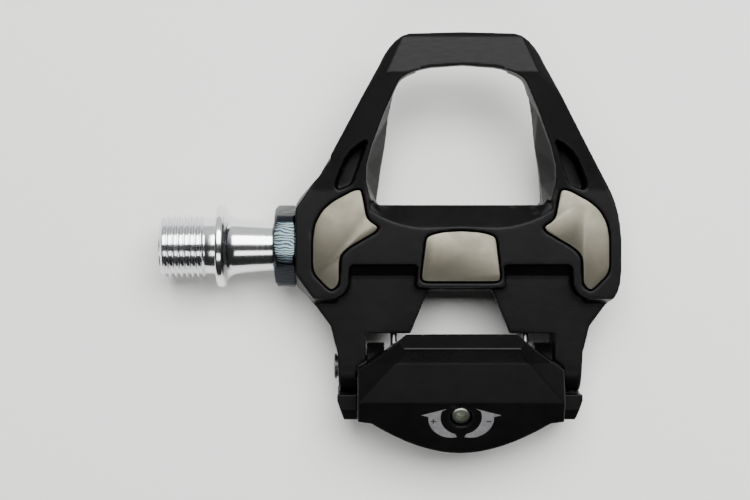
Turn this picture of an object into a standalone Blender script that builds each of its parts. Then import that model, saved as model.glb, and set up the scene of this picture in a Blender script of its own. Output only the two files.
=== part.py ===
# Road clipless pedal: a spindle with its bearings, a composite platform that turns on it,
# and a sprung claw at the back of the platform. Metres, +Z up.
# +X points away from the crank, +Y to the toe of the shoe. The origin is on the face of
# the centre contact plate, straight above the spindle's axis, which runs along X.
import math

import bmesh
import bpy
from mathutils import Matrix, Vector

MM = 0.001

# Fits
GAP = 0.3 * MM              # between pieces that rest on each other
SLIDE_FIT = 0.1 * MM        # radial, a round piece in its bore
BALL_FIT = 0.05 * MM        # a ball or roller to its race
PAST = 1.0 * MM             # how far a cutter runs past the face that it opens
ROUND = 32                  # sides of a turned piece

# Platform, in plan
FRONT_REACH = 47.1 * MM     # axle to the front of the hook
HALF_WIDTH = 35.7 * MM      # centre to the edge of a wing
BOSS_OUT = 1.2 * MM         # face that the lock bolt tightens against, past the wing
BOSS_HALF = 9.2 * MM
BAR_DEPTH = 7.4 * MM        # front bar, front to back
BAR_HALF = 11.5 * MM        # flat front of the bar
LOOP_CORNER = (18.4 * MM, -7.5 * MM)    # end of the bar's round corner, from the front
WINDOW_BACK = 9.2 * MM      # rear edge of the big opening
WINDOW_HALF_BACK = 18.9 * MM
WINDOW_HALF_FRONT = 14.5 * MM
WING_BACK = -11.8 * MM      # rear end of a wing's flat top
WING_WIDTH = 10.9 * MM      # raised rim round a contact plate, behind the plate's waist
DECK_BACK = -19.7 * MM
ARM_INNER = 21.3 * MM
ARM_OUTER = 27.6 * MM
ARM_STEP = 2.0 * MM         # thinner inside where the claw's flanks pass

# Platform, heights
PLATE_PROUD = 0.3 * MM      # contact plates over the composite
AXLE_DROP = 10.0 * MM       # contact plane to the spindle's axis
HOOK_RISE = 5.2 * MM        # contact plane to the top of the hook
HOOK_LIP = 3.4 * MM         # lip over the cleat's nose
HOOK_UNDERCUT = 2.4 * MM
LOOP_DEPTH = 4.2 * MM       # hook's underside below the contact plane
TUNNEL_DEPTH = 9.6 * MM     # spindle's axis to the underside
TUNNEL_WALL = 1.2 * MM      # round the cartridge, where it stands above the deck
DECK_THICKNESS = 2.5 * MM
POCKET_FLOOR = -6.6 * MM     # slots beside the window

# Contact plates
PLATE_THICKNESS = 1.2 * MM
PLATE_CORNER = 0.6 * MM
PLATE_BOSS_R = 1.5 * MM
PLATE_BOSS_LENGTH = 4.2 * MM
SCREW_IN = 11.3 * MM        # wing's edge to the plate screw
SCREW_Y = 9.9 * MM
SCREW_R = 0.8 * MM
SCREW_HEAD_R = 1.5 * MM
SCREW_HEAD_LENGTH = 1.6 * MM

# Spindle
SHOULDER_OUT = 18.1 * MM    # face that meets the crank, from the boss
THREAD_R = 14.288 / 2 * MM  # 9/16 in
THREAD_LENGTH = 12.8 * MM
RELIEF_LENGTH = 2.5 * MM
FLANGE_R = 9.35 * MM
FLANGE_THICKNESS = 1.0 * MM
NECK_R = 6.12 * MM
SEAL_JOURNAL_R = 5.4 * MM
NEEDLE_JOURNAL_R = 4.0 * MM
RACE_JOURNAL_R = 3.0 * MM
KEY_AF = 8.0 * MM           # hexagon socket in the threaded end
KEY_DEPTH = 8.0 * MM

# Bearings
BALL_R = 2.381 / 2 * MM     # 3/32 in
BALL_COUNT = 12
BALL_SPACING = 1.045        # pitch between balls over their diameter
ROW_X = (9.0 * MM, 16.0 * MM)
CARTRIDGE_R = 6.9 * MM
CARTRIDGE_WALL = 0.9 * MM
BORE_END_X = 24.6 * MM
NEEDLE_SHELL_R = 5.9 * MM
NEEDLE_SHELL_WALL = 0.65 * MM
NEEDLE_COUNT = 14
NEEDLE_LENGTH = 8.4 * MM
NEEDLE_IN = 7.9 * MM        # boss face to the needle bearing's middle

# Lock bolt
LOCK_AF = 17.0 * MM
LOCK_CORNER_R = 9.35 * MM    # the hexagon's corners are turned down to this
LOCK_TURN = math.radians(20)
LOCK_HEAD_LENGTH = 4.6 * MM
LOCK_SHANK_R = 7.5 * MM
LOCK_SHANK_LENGTH = 15.0 * MM
SEAL_LENGTH = 2.5 * MM
SEAL_R = 6.2 * MM

# Claw
PIN_Y = -27.4 * MM
PIN_Z = -10.0 * MM
PIN_R = 2.4 * MM
PIN_HEAD_R = 2.85 * MM
PIN_HEAD_LENGTH = 0.5 * MM
ARM_END_R = 5.7 * MM
CLAW_HALF = 23.0 * MM
CLAW_LUG_WIDTH = 4.0 * MM
CLAW_EAR = 4.7 * MM
CLAW_WALL = 2.2 * MM
CLAW_TAIL = 19.3 * MM       # pin to the tail of the claw
CLAW_LIP_HALF = 12.3 * MM
APRON_SLOPE = math.radians(28.5)
APRON_TOP = (-7.4 * MM, 12.0 * MM)      # upper edge of the rear apron, from the pin

# Spring and tension bolt
WIRE_R = 0.75 * MM
SPRING_TURNS = 5
SPRING_PITCH = 1.8 * MM
SPRING_INNER_X = 5.0 * MM
BOLT_R = 2.0 * MM
BOLT_HEAD_R = 2.1 * MM
BOLT_HEAD_LENGTH = 3.0 * MM
BOLT_RECESS = 0.6 * MM      # head below the apron
BOLT_LENGTH = 11.1 * MM     # shank
BOLT_KEY_AF = 2.5 * MM
BOLT_TO_PIN = 0.177 * MM    # clearance between their sides
BOLT_BOSS_R = 4.2 * MM
BOLT_BOSS_DEPTH = 6.4 * MM
NUT_THICKNESS = 3.0 * MM
NUT_HUB_HALF = 3.1 * MM     # square hub round the bolt
NUT_BAR_WIDTH = 3.0 * MM    # bar that the springs push on
NUT_BAR_OFFSET = 1.8 * MM   # bar's centre behind the bolt
NUT_HALF_LENGTH = 15.6 * MM
NUT_TRAVEL = 2.1 * MM

# Values that follow
AXLE_Z = -AXLE_DROP
BOSS_X = -HALF_WIDTH - BOSS_OUT
SHOULDER_X = BOSS_X - SHOULDER_OUT
NEEDLE_X = BOSS_X + NEEDLE_IN
WING_INNER = HALF_WIDTH - WING_WIDTH
WING_SIDE = (HALF_WIDTH - 3.2 * MM, 13.8 * MM)      # where the loop's straight side ends
SCREW_X = HALF_WIDTH - SCREW_IN
TOP_Z = -PLATE_PROUD
UNDER_Z = AXLE_Z - TUNNEL_DEPTH
DECK_Z = PIN_Z + ARM_END_R
DECK_UNDER_Z = DECK_Z - DECK_THICKNESS
BALL_PITCH_R = BALL_SPACING * BALL_R / math.sin(math.pi / BALL_COUNT)
RACE_R = BALL_R + BALL_FIT
LOCK_BORE_R = LOCK_SHANK_R + SLIDE_FIT
CARTRIDGE_BORE_R = CARTRIDGE_R + SLIDE_FIT
LOCK_HEAD_X = BOSS_X - GAP - LOCK_HEAD_LENGTH
LOCK_END_X = BOSS_X + LOCK_SHANK_LENGTH
SPRING_R = PIN_R + GAP + WIRE_R
CLAW_INNER = ARM_INNER - GAP
BOLT_AXIS = Vector((0, math.sin(APRON_SLOPE), -math.cos(APRON_SLOPE)))
# From the apron's upper edge down the slope, to where the bolt passes the pin
APRON_TO_PIN = APRON_TOP[0] * math.cos(APRON_SLOPE) + APRON_TOP[1] * math.sin(APRON_SLOPE)
BOLT_DOWN_APRON = PIN_R + BOLT_R + BOLT_TO_PIN + APRON_TO_PIN
BOLT_MOUTH = Vector((
    0,
    PIN_Y + APRON_TOP[0] - BOLT_DOWN_APRON * math.cos(APRON_SLOPE),
    PIN_Z + APRON_TOP[1] - BOLT_DOWN_APRON * math.sin(APRON_SLOPE),
))
PIN_CENTRE = Vector((0, PIN_Y, PIN_Z))
AXLE_CENTRE = Vector((0, 0, AXLE_Z))

FINISHES = {
    "composite": ((0.022, 0.022, 0.024, 1), 0.55, 0.0),
    "stainless": ((0.46, 0.44, 0.39, 1), 0.42, 1.0),
    "chrome": ((0.80, 0.81, 0.83, 1), 0.10, 1.0),
    "black_steel": ((0.05, 0.055, 0.065, 1), 0.35, 1.0),
    "zinc_steel": ((0.52, 0.53, 0.47, 1), 0.38, 1.0),
    "bearing_steel": ((0.60, 0.61, 0.63, 1), 0.16, 1.0),
    "spring_steel": ((0.20, 0.20, 0.21, 1), 0.35, 1.0),
    "rubber": ((0.015, 0.015, 0.015, 1), 0.75, 0.0),
    "alloy": ((0.45, 0.46, 0.48, 1), 0.32, 1.0),
}


def clear_scene():
    for old in list(bpy.data.objects):
        bpy.data.objects.remove(old, do_unlink=True)


def new_collection(name):
    group = bpy.data.collections.new(name)
    bpy.context.scene.collection.children.link(group)
    return group


def new_finish(name):
    colour, roughness, metallic = FINISHES[name]
    finish = bpy.data.materials.new(name)
    finish.use_nodes = True
    shader = finish.node_tree.nodes["Principled BSDF"]
    shader.inputs["Base Color"].default_value = colour
    shader.inputs["Roughness"].default_value = roughness
    shader.inputs["Metallic"].default_value = metallic
    return finish


def add_part(name, mesh, finish, origin=(0, 0, 0)):
    """Link a mesh that is in world place as a part whose origin is at the given point."""
    mesh.transform(Matrix.Translation(-Vector(origin)))
    mesh.materials.clear()
    mesh.materials.append(finishes[finish])
    part = bpy.data.objects.new(name, mesh)
    part.location = origin
    parts.objects.link(part)
    return part


def add_cutter(name, mesh):
    cutter = bpy.data.objects.new(name, mesh)
    cutter.display_type = "WIRE"
    cutter.hide_render = True
    cutters.objects.link(cutter)
    return cutter


def combine(target, tool, operation="DIFFERENCE"):
    step = target.modifiers.new(tool.name, "BOOLEAN")
    step.operation = operation
    step.object = tool
    step.solver = "EXACT"


def cut_with(target, name, mesh):
    combine(target, add_cutter(name, mesh))


def join_with(target, name, mesh):
    combine(target, add_cutter(name, mesh), "UNION")


def mm(*points):
    return [(u * MM, v * MM) for u, v in points]


def mirror_points(points):
    """Close a half outline, given from front to back at +X, with its mirror at -X."""
    other_side = [(-x, y) for x, y in reversed(points) if x > 0]
    return list(points) + other_side


def arc_points(centre, radius, start, end, steps):
    """Points on an arc, from one angle to another in degrees, both ends included."""
    points = []
    for step in range(steps + 1):
        angle = math.radians(start + (end - start) * step / steps)
        points.append((centre[0] + radius * math.cos(angle), centre[1] + radius * math.sin(angle)))
    return points


def bend_points(first, middle, last, steps):
    """Points on a quadratic curve that starts and ends at two points and leans to a third."""
    points = []
    for step in range(steps + 1):
        t = step / steps
        points.append(tuple(
            (1 - t) ** 2 * a + 2 * t * (1 - t) * b + t ** 2 * c
            for a, b, c in zip(first, middle, last)
        ))
    return points


def soften(points, reach):
    """A closed outline with its corners cut off, each by reach or by a quarter of a short side."""
    cut = []
    for here, ahead in zip(points, points[1:] + points[:1]):
        here, ahead = Vector(here), Vector(ahead)
        share = min(0.25, reach / (ahead - here).length)
        cut += [tuple(here.lerp(ahead, share)), tuple(ahead.lerp(here, share))]
    return cut


def grow_outline(points, distance):
    """Move each corner of a closed outline outwards by a distance from both its edges."""
    area = sum(a[0] * b[1] - b[0] * a[1] for a, b in zip(points, points[1:] + points[:1]))
    side = 1 if area > 0 else -1
    grown = []
    for index, point in enumerate(points):
        here = Vector(point)
        before = (here - Vector(points[index - 1])).normalized()
        after = (Vector(points[(index + 1) % len(points)]) - here).normalized()
        normal_before = Vector((before.y, -before.x)) * side
        normal_after = Vector((after.y, -after.x)) * side
        bisector = (normal_before + normal_after).normalized()
        grown.append(tuple(here + bisector * distance / max(bisector.dot(normal_before), 0.5)))
    return grown


def extrude_outline(name, points, low, high, axis="Z"):
    """A flat outline pulled along Z, or along X when its points are (y, z)."""
    curve = bpy.data.curves.new(name, "CURVE")
    curve.dimensions = "2D"
    curve.fill_mode = "BOTH"
    curve.extrude = (high - low) / 2
    spline = curve.splines.new("POLY")
    spline.points.add(len(points) - 1)
    for control, (u, v) in zip(spline.points, points):
        control.co = (u, v, 0, 1)
    spline.use_cyclic_u = True
    holder = bpy.data.objects.new(name, curve)
    cutters.objects.link(holder)
    bpy.context.view_layer.update()
    graph = bpy.context.evaluated_depsgraph_get()
    mesh = bpy.data.meshes.new_from_object(holder.evaluated_get(graph))
    bpy.data.objects.remove(holder)
    bpy.data.curves.remove(curve)
    weld(mesh)
    mesh.transform(Matrix.Translation((0, 0, (low + high) / 2)))
    if axis == "X":
        mesh.transform(Matrix(((0, 0, 1, 0), (1, 0, 0, 0), (0, 1, 0, 0), (0, 0, 0, 1))))
    return mesh


def weld(mesh):
    bm = bmesh.new()
    bm.from_mesh(mesh)
    bmesh.ops.remove_doubles(bm, verts=bm.verts, dist=0.001 * MM)
    bmesh.ops.recalc_face_normals(bm, faces=bm.faces)
    bm.to_mesh(mesh)
    bm.free()


def rod(name, radius, start, end, sides=24, turn=0.0):
    """A cylinder between two points; its radius reaches the corners."""
    start = Vector(start)
    along = Vector(end) - start
    bm = bmesh.new()
    bmesh.ops.create_cone(
        bm, cap_ends=True, segments=sides, radius1=radius, radius2=radius, depth=along.length
    )
    bmesh.ops.rotate(bm, verts=bm.verts, matrix=Matrix.Rotation(turn, 3, "Z"))
    facing = along.to_track_quat("Z", "Y").to_matrix().to_4x4()
    bmesh.ops.transform(bm, verts=bm.verts, matrix=Matrix.Translation(start + along / 2) @ facing)
    mesh = bpy.data.meshes.new(name)
    bm.to_mesh(mesh)
    bm.free()
    return mesh


def box(name, low, high):
    bm = bmesh.new()
    bmesh.ops.create_cube(bm, size=1)
    low = Vector(low)
    high = Vector(high)
    bmesh.ops.scale(bm, verts=bm.verts, vec=high - low)
    bmesh.ops.translate(bm, verts=bm.verts, vec=(low + high) / 2)
    mesh = bpy.data.meshes.new(name)
    bm.to_mesh(mesh)
    bm.free()
    return mesh


def wedge_beyond(name, a, b, c, outwards, size):
    """A cube with one face on the plane through three points, on the side that is cut away."""
    a = Vector(a)
    normal = (Vector(b) - a).cross(Vector(c) - a).normalized()
    if normal.dot(Vector(outwards)) < 0:
        normal = -normal
    bm = bmesh.new()
    bmesh.ops.create_cube(bm, size=size)
    facing = normal.to_track_quat("Z", "Y").to_matrix().to_4x4()
    centre = (a + Vector(b) + Vector(c)) / 3 + normal * size / 2
    bmesh.ops.transform(bm, verts=bm.verts, matrix=Matrix.Translation(centre) @ facing)
    mesh = bpy.data.meshes.new(name)
    bm.to_mesh(mesh)
    bm.free()
    return mesh


def turned_mesh(name, profile, closed):
    """A wire of (x, radius) points, for a Screw modifier about its own Z axis."""
    bm = bmesh.new()
    points = [bm.verts.new((radius, 0, x)) for x, radius in profile]
    for first, second in zip(points, points[1:]):
        bm.edges.new((first, second))
    if closed:
        bm.edges.new((points[-1], points[0]))
    mesh = bpy.data.meshes.new(name)
    bm.to_mesh(mesh)
    bm.free()
    return mesh


def lay_on_axle(piece, steps=ROUND):
    """Turn a wire profile round, and lay its axis along the spindle."""
    spin = piece.modifiers.new("turn", "SCREW")
    spin.steps = steps
    spin.render_steps = steps
    spin.use_merge_vertices = True
    spin.merge_threshold = 0.001 * MM
    piece.location = AXLE_CENTRE
    piece.rotation_euler = (0, math.pi / 2, 0)
    return piece


def add_turned(name, profile, finish, closed=True):
    """A round part on the spindle's axis. Its profile runs from the outboard end inwards
    along the outer side; a closed one then comes back along the bore."""
    piece = add_part(name, turned_mesh(name, profile, closed), finish)
    return lay_on_axle(piece)


def cut_turned(target, name, profile):
    cutter = add_cutter(name, turned_mesh(name, profile, closed=False))
    combine(target, lay_on_axle(cutter))


def across_corners(across_flats):
    return across_flats / math.sqrt(3)


# Spindle and bearings

def make_axle():
    thread_end = SHOULDER_X - THREAD_LENGTH
    relief_end = SHOULDER_X - RELIEF_LENGTH
    chamfer = 0.8 * MM
    relief_r = THREAD_R - 0.7 * MM
    flange_x = SHOULDER_X + FLANGE_THICKNESS
    neck_x = SHOULDER_X + 6.1 * MM
    mouth_x = LOCK_HEAD_X
    race_stop = ROW_X[0] - 2.1 * MM - GAP
    axle_end = BORE_END_X - 1.2 * MM
    fillet = bend_points(
        (neck_x, NECK_R),
        (flange_x + 0.9 * MM, NECK_R + 0.3 * MM),
        (flange_x, FLANGE_R - 0.2 * MM),
        6,
    )
    profile = [
        (axle_end, 0),
        (axle_end, RACE_JOURNAL_R - 0.4 * MM),
        (axle_end - 0.4 * MM, RACE_JOURNAL_R),
        (race_stop, RACE_JOURNAL_R),
        (race_stop, NEEDLE_JOURNAL_R),
        (BOSS_X + 0.6 * MM, NEEDLE_JOURNAL_R),
        (BOSS_X, SEAL_JOURNAL_R - 0.5 * MM),
        (mouth_x + 0.6 * MM, SEAL_JOURNAL_R),
        (mouth_x, (SEAL_JOURNAL_R + NECK_R) / 2 - 0.12 * MM),
        *fillet,
        (SHOULDER_X + 0.25 * MM, FLANGE_R),
        (SHOULDER_X, FLANGE_R - 0.25 * MM),
        (SHOULDER_X, relief_r),
        (relief_end, relief_r),
        (relief_end - chamfer / 2, THREAD_R),
        (thread_end + chamfer, THREAD_R),
        (thread_end, THREAD_R - chamfer),
        (thread_end, 0),
    ]
    axle = add_turned("axle", profile, "chrome", closed=False)
    socket = rod(
        "key_socket", across_corners(KEY_AF),
        (thread_end - PAST, 0, AXLE_Z), (thread_end + KEY_DEPTH, 0, AXLE_Z), sides=6,
    )
    cut_with(axle, "key_socket", socket)


def race_arc(row_x, start, end):
    return arc_points((row_x, BALL_PITCH_R), RACE_R, start, end, 4)


def make_ball_bearing():
    inner_x, outer_x = ROW_X
    shoulder_r = BALL_PITCH_R + 0.6 * MM
    mouth_r = BALL_PITCH_R + RACE_R
    lean = math.degrees(math.asin((shoulder_r - BALL_PITCH_R) / RACE_R))
    cup_in = inner_x - 2.2 * MM
    cup_out = outer_x + 2.4 * MM
    add_turned("ball_cup", [
        (cup_out, CARTRIDGE_R),
        (cup_in, CARTRIDGE_R),
        (cup_in, mouth_r),
        *race_arc(inner_x, 90, lean),
        *race_arc(outer_x, 180 - lean, 90),
        (cup_out, mouth_r),
    ], "bearing_steel")

    bore_r = RACE_JOURNAL_R + SLIDE_FIT
    cone_r = BALL_PITCH_R - 0.5 * MM
    cone_lean = math.degrees(math.asin(0.5 * MM / RACE_R))
    add_turned("inner_race", [
        (inner_x + 1.1 * MM, BALL_PITCH_R - RACE_R),
        *race_arc(inner_x, 270, 180 + cone_lean),
        (inner_x - 2.1 * MM, cone_r),
        (inner_x - 2.1 * MM, bore_r),
        (inner_x + 1.1 * MM, bore_r),
    ], "bearing_steel")
    cone_end = outer_x + 3.4 * MM
    add_turned("cone", [
        (cone_end, cone_r),
        *race_arc(outer_x, 360 - cone_lean, 270),
        (outer_x - 1.1 * MM, BALL_PITCH_R - RACE_R),
        (outer_x - 1.1 * MM, bore_r),
        (cone_end, bore_r),
    ], "bearing_steel")
    nut_start = cone_end + GAP
    nut_end = nut_start + 2.6 * MM
    nut = add_part("cone_lock_nut", rod(
        "cone_lock_nut", across_corners(9.0 * MM),
        (nut_start, 0, AXLE_Z), (nut_end, 0, AXLE_Z), sides=6,
    ), "bearing_steel", AXLE_CENTRE)
    cut_with(nut, "nut_bore", rod(
        "nut_bore", bore_r, (nut_start - PAST, 0, AXLE_Z), (nut_end + PAST, 0, AXLE_Z), sides=ROUND
    ))

    bm = bmesh.new()
    bmesh.ops.create_icosphere(bm, subdivisions=2, radius=BALL_R)
    ball_mesh = bpy.data.meshes.new("ball")
    bm.to_mesh(ball_mesh)
    bm.free()
    ball_mesh.shade_smooth()
    ball_mesh.materials.append(finishes["bearing_steel"])
    for row_name, row_x in zip(("inner", "outer"), ROW_X):
        for index in range(BALL_COUNT):
            angle = 2 * math.pi * index / BALL_COUNT
            ball = bpy.data.objects.new(f"ball_{row_name}_{index + 1:02d}", ball_mesh)
            ball.location = AXLE_CENTRE + Vector((
                row_x, BALL_PITCH_R * math.cos(angle), BALL_PITCH_R * math.sin(angle)
            ))
            parts.objects.link(ball)


def make_needle_bearing():
    half = NEEDLE_LENGTH / 2
    shell_in = NEEDLE_SHELL_R - NEEDLE_SHELL_WALL
    rim = half + 0.9 * MM
    add_turned("needle_bearing_shell", [
        (NEEDLE_X + rim, NEEDLE_SHELL_R),
        (NEEDLE_X - rim, NEEDLE_SHELL_R),
        (NEEDLE_X - rim, shell_in),
        (NEEDLE_X + rim, shell_in),
    ], "bearing_steel")
    pitch_r = (NEEDLE_JOURNAL_R + shell_in) / 2
    roller_r = (shell_in - NEEDLE_JOURNAL_R) / 2 - BALL_FIT
    cage = add_turned("needle_roller_cage", [
        (NEEDLE_X + half + 0.5 * MM, pitch_r + 0.18 * MM),
        (NEEDLE_X - half - 0.5 * MM, pitch_r + 0.18 * MM),
        (NEEDLE_X - half - 0.5 * MM, pitch_r - 0.18 * MM),
        (NEEDLE_X + half + 0.5 * MM, pitch_r - 0.18 * MM),
    ], "bearing_steel")
    for index in range(NEEDLE_COUNT):
        angle = 2 * math.pi * (index + 0.5) / NEEDLE_COUNT
        y = pitch_r * math.cos(angle)
        z = AXLE_Z + pitch_r * math.sin(angle)
        name = f"needle_{index + 1:02d}"
        roller = rod(name, roller_r, (NEEDLE_X - half, y, z), (NEEDLE_X + half, y, z), sides=8)
        join_with(cage, name, roller)


def make_cartridge():
    start = LOCK_END_X + 2 * GAP
    end = ROW_X[0] - 2.2 * MM - GAP
    inner = CARTRIDGE_R - CARTRIDGE_WALL
    add_turned("bearing_tube", [
        (end, CARTRIDGE_R),
        (start, CARTRIDGE_R),
        (start, inner),
        (end, inner),
    ], "alloy")
    make_ball_bearing()
    make_needle_bearing()


def make_lock_bolt():
    head_end = LOCK_HEAD_X + LOCK_HEAD_LENGTH
    seal_seat = LOCK_HEAD_X + SEAL_LENGTH + 1.0 * MM
    needle_seat = NEEDLE_X - NEEDLE_LENGTH / 2 - 1.2 * MM
    bolt = add_part("lock_bolt", rod(
        "lock_bolt", across_corners(LOCK_AF),
        (LOCK_HEAD_X, 0, AXLE_Z), (head_end, 0, AXLE_Z), sides=6, turn=LOCK_TURN,
    ), "black_steel", AXLE_CENTRE)
    combine(bolt, add_cutter("lock_corners", rod(
        "lock_corners", LOCK_CORNER_R,
        (LOCK_HEAD_X - PAST, 0, AXLE_Z), (head_end + PAST, 0, AXLE_Z), sides=60)), "INTERSECT")
    join_with(bolt, "lock_shank", rod(
        "lock_shank", LOCK_SHANK_R,
        (head_end - 1.0 * MM, 0, AXLE_Z), (LOCK_END_X, 0, AXLE_Z), sides=ROUND,
    ))
    cut_turned(bolt, "lock_bore", [
        (LOCK_END_X + PAST, 0),
        (LOCK_END_X + PAST, NEEDLE_SHELL_R + SLIDE_FIT),
        (needle_seat, NEEDLE_SHELL_R + SLIDE_FIT),
        (needle_seat, SEAL_JOURNAL_R + GAP),
        (seal_seat, SEAL_JOURNAL_R + GAP),
        (seal_seat, SEAL_R + SLIDE_FIT),
        (LOCK_HEAD_X - PAST, SEAL_R + SLIDE_FIT),
        (LOCK_HEAD_X - PAST, 0),
    ])
    seal_start = LOCK_HEAD_X + 0.7 * MM
    add_turned("axle_seal", [
        (seal_start + SEAL_LENGTH, SEAL_R),
        (seal_start, SEAL_R),
        (seal_start, SEAL_JOURNAL_R + SLIDE_FIT),
        (seal_start + SEAL_LENGTH, SEAL_JOURNAL_R + SLIDE_FIT),
    ], "rubber")


# Platform

def platform_outline():
    front = FRONT_REACH
    corner = (LOOP_CORNER[0], front + LOOP_CORNER[1])
    half = [(0, front)]
    half += bend_points((BAR_HALF, front - 0.3 * MM), (corner[0] - 2.8 * MM, front - 1.0 * MM), corner, 5)
    half += bend_points(
        WING_SIDE, (HALF_WIDTH - 0.4 * MM, 9.0 * MM), (HALF_WIDTH, 2.0 * MM), 5
    )
    half += bend_points(
        (HALF_WIDTH, -6.0 * MM), (HALF_WIDTH, WING_BACK + 1.0 * MM),
        (HALF_WIDTH - 3.2 * MM, WING_BACK - 1.7 * MM), 4
    )
    half += bend_points(
        (HALF_WIDTH - 6.6 * MM, DECK_BACK + 1.6 * MM), (ARM_OUTER + 0.8 * MM, DECK_BACK - 1.6 * MM),
        (ARM_OUTER, PIN_Y + PIN_HEAD_R + PAST / 2), 4
    )
    half.append((ARM_OUTER - 0.3 * MM, PIN_Y - ARM_END_R - PAST))
    return mirror_points(half)


def platform_side():
    """Side view of the platform, as (y, z) from the toe over the top to the heel."""
    bar_back = FRONT_REACH - BAR_DEPTH - 1.6 * MM
    rise = bend_points((bar_back, HOOK_RISE), (22.0 * MM, 0.5 * MM), (12.5 * MM, TOP_Z), 6)
    heel = arc_points((PIN_Y, PIN_Z), ARM_END_R, 90, 270, 14)
    belly = bend_points(
        (TUNNEL_DEPTH + 0.8 * MM, AXLE_Z - 4.0 * MM), (TUNNEL_DEPTH + 2.6 * MM, AXLE_Z + 0.6 * MM),
        (22.0 * MM, AXLE_Z + 2.0 * MM), 4
    )
    return [
        (FRONT_REACH + PAST, HOOK_RISE - 2.2 * MM),
        (FRONT_REACH - 1.2 * MM, HOOK_RISE - 1.0 * MM),
        *rise,
        (WING_BACK, TOP_Z),
        (WING_BACK - 0.9 * MM, DECK_Z),
        *heel,
        (-TUNNEL_DEPTH - 0.8 * MM, PIN_Z - ARM_END_R),
        (-TUNNEL_DEPTH + 0.6 * MM, UNDER_Z + 1.6 * MM),
        (-TUNNEL_DEPTH + 3.0 * MM, UNDER_Z),
        (TUNNEL_DEPTH - 3.0 * MM, UNDER_Z),
        (TUNNEL_DEPTH - 0.6 * MM, UNDER_Z + 1.6 * MM),
        *belly,
        (bar_back, -LOOP_DEPTH - 0.6 * MM),
        (FRONT_REACH - 2.0 * MM, -LOOP_DEPTH),
        (FRONT_REACH + PAST, -LOOP_DEPTH + 2.2 * MM),
    ]


def window_edges():
    """Half outlines of the big opening, as (lower point, upper point) pairs."""
    front = FRONT_REACH - BAR_DEPTH
    back = WINDOW_BACK
    half = WINDOW_HALF_BACK
    arch = bend_points((7.0 * MM, front - 0.5 * MM), (12.2 * MM, front - 1.4 * MM),
                       (WINDOW_HALF_FRONT - 0.6 * MM, front - 3.4 * MM), 5)
    edges = [((0, front + HOOK_UNDERCUT), (0, front))]
    for index, (x, y) in enumerate(arch):
        edges.append(((x + 0.3 * MM, y + HOOK_UNDERCUT * (1 - index / 7)), (x, y)))
    half_front = WINDOW_HALF_FRONT
    edges += [
        ((half_front + 0.5 * MM, front - 5.4 * MM), (half_front + 0.2 * MM, front - 5.0 * MM)),
        ((half_front + 1.5 * MM, front - 10.5 * MM), (half_front + 2.6 * MM, front - 10.3 * MM)),
        ((half - 1.9 * MM, back + 13.0 * MM), (half + 0.9 * MM, back + 13.2 * MM)),
        ((half - 1.1 * MM, back + 8.6 * MM), (half + 2.1 * MM, back + 8.8 * MM)),
        ((half - 0.6 * MM, back + 4.8 * MM), (half + 2.2 * MM, back + 5.3 * MM)),
        ((half, back + 0.8 * MM), (half + 1.3 * MM, back + 1.4 * MM)),
        ((half - 0.8 * MM, back), (half - 0.2 * MM, back)),
    ]
    return edges


def window_cutter():
    """Straight below the loop, leaning out from there up to the deck's top, and straight above it."""
    edges = window_edges()
    low = mirror_points([pair[0] for pair in edges])
    high = mirror_points([pair[1] for pair in edges])
    levels = (
        (low, UNDER_Z - PAST), (low, AXLE_Z + 3.0 * MM), (high, TOP_Z - 0.4 * MM), (high, HOOK_RISE + PAST),
    )
    bm = bmesh.new()
    rings = [[bm.verts.new((x, y, z)) for x, y in outline] for outline, z in levels]
    bm.faces.new(rings[0])
    bm.faces.new(rings[-1])
    for lower, upper in zip(rings, rings[1:]):
        for index in range(len(lower)):
            ahead = (index + 1) % len(lower)
            bm.faces.new((lower[index], lower[ahead], upper[ahead], upper[index]))
    bmesh.ops.recalc_face_normals(bm, faces=bm.faces)
    mesh = bpy.data.meshes.new("window")
    bm.to_mesh(mesh)
    bm.free()
    return mesh


def scoop_cutter():
    """The slanted face between the contact plates and the window's rear edge."""
    ridge = mm(
        (0, 4.2), (4.6, 4.0), (8.1, 3.9), (10.6, 4.1), (12.9, 4.6), (15.2, 5.3), (17.4, 6.3), (20.2, 8.0))
    ridge = [(-x, y) for x, y in reversed(ridge[1:])] + ridge
    edge_z = TOP_Z - 3.4 * MM
    bm = bmesh.new()
    back = [bm.verts.new((x, y, TOP_Z)) for x, y in ridge]
    front = [bm.verts.new((x, WINDOW_BACK + PAST, edge_z - 0.5 * MM)) for x, y in ridge]
    strip = [
        bm.faces.new((back[i], back[i + 1], front[i + 1], front[i])) for i in range(len(ridge) - 1)
    ]
    raised = bmesh.ops.extrude_face_region(bm, geom=strip)
    for corner in [item for item in raised["geom"] if isinstance(item, bmesh.types.BMVert)]:
        corner.co.z = PAST
    bmesh.ops.recalc_face_normals(bm, faces=bm.faces)
    mesh = bpy.data.meshes.new("scoop")
    bm.to_mesh(mesh)
    bm.free()
    return mesh


def loop_side(y):
    """How far out the loop's straight side stands."""
    corner_x, corner_y = LOOP_CORNER[0], FRONT_REACH + LOOP_CORNER[1]
    share = (corner_y - y) / (corner_y - WING_SIDE[1])
    return corner_x + share * (WING_SIDE[0] - corner_x)


def pocket_outline(side):
    """Slot beside the window, in the thick root of the loop, as (in from the loop's side, y)."""
    points = mm(
        (6.48, 23.9), (8.28, 14.2), (8.12, 13.4), (5.87, 12.4), (4.78, 13.1), (4.1, 14.9),
        (3.58, 19.5), (4.14, 21.6), (5.33, 22.9),
    )
    return soften([(side * (loop_side(y) - inset), y) for inset, y in points], 0.5 * MM)


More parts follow.
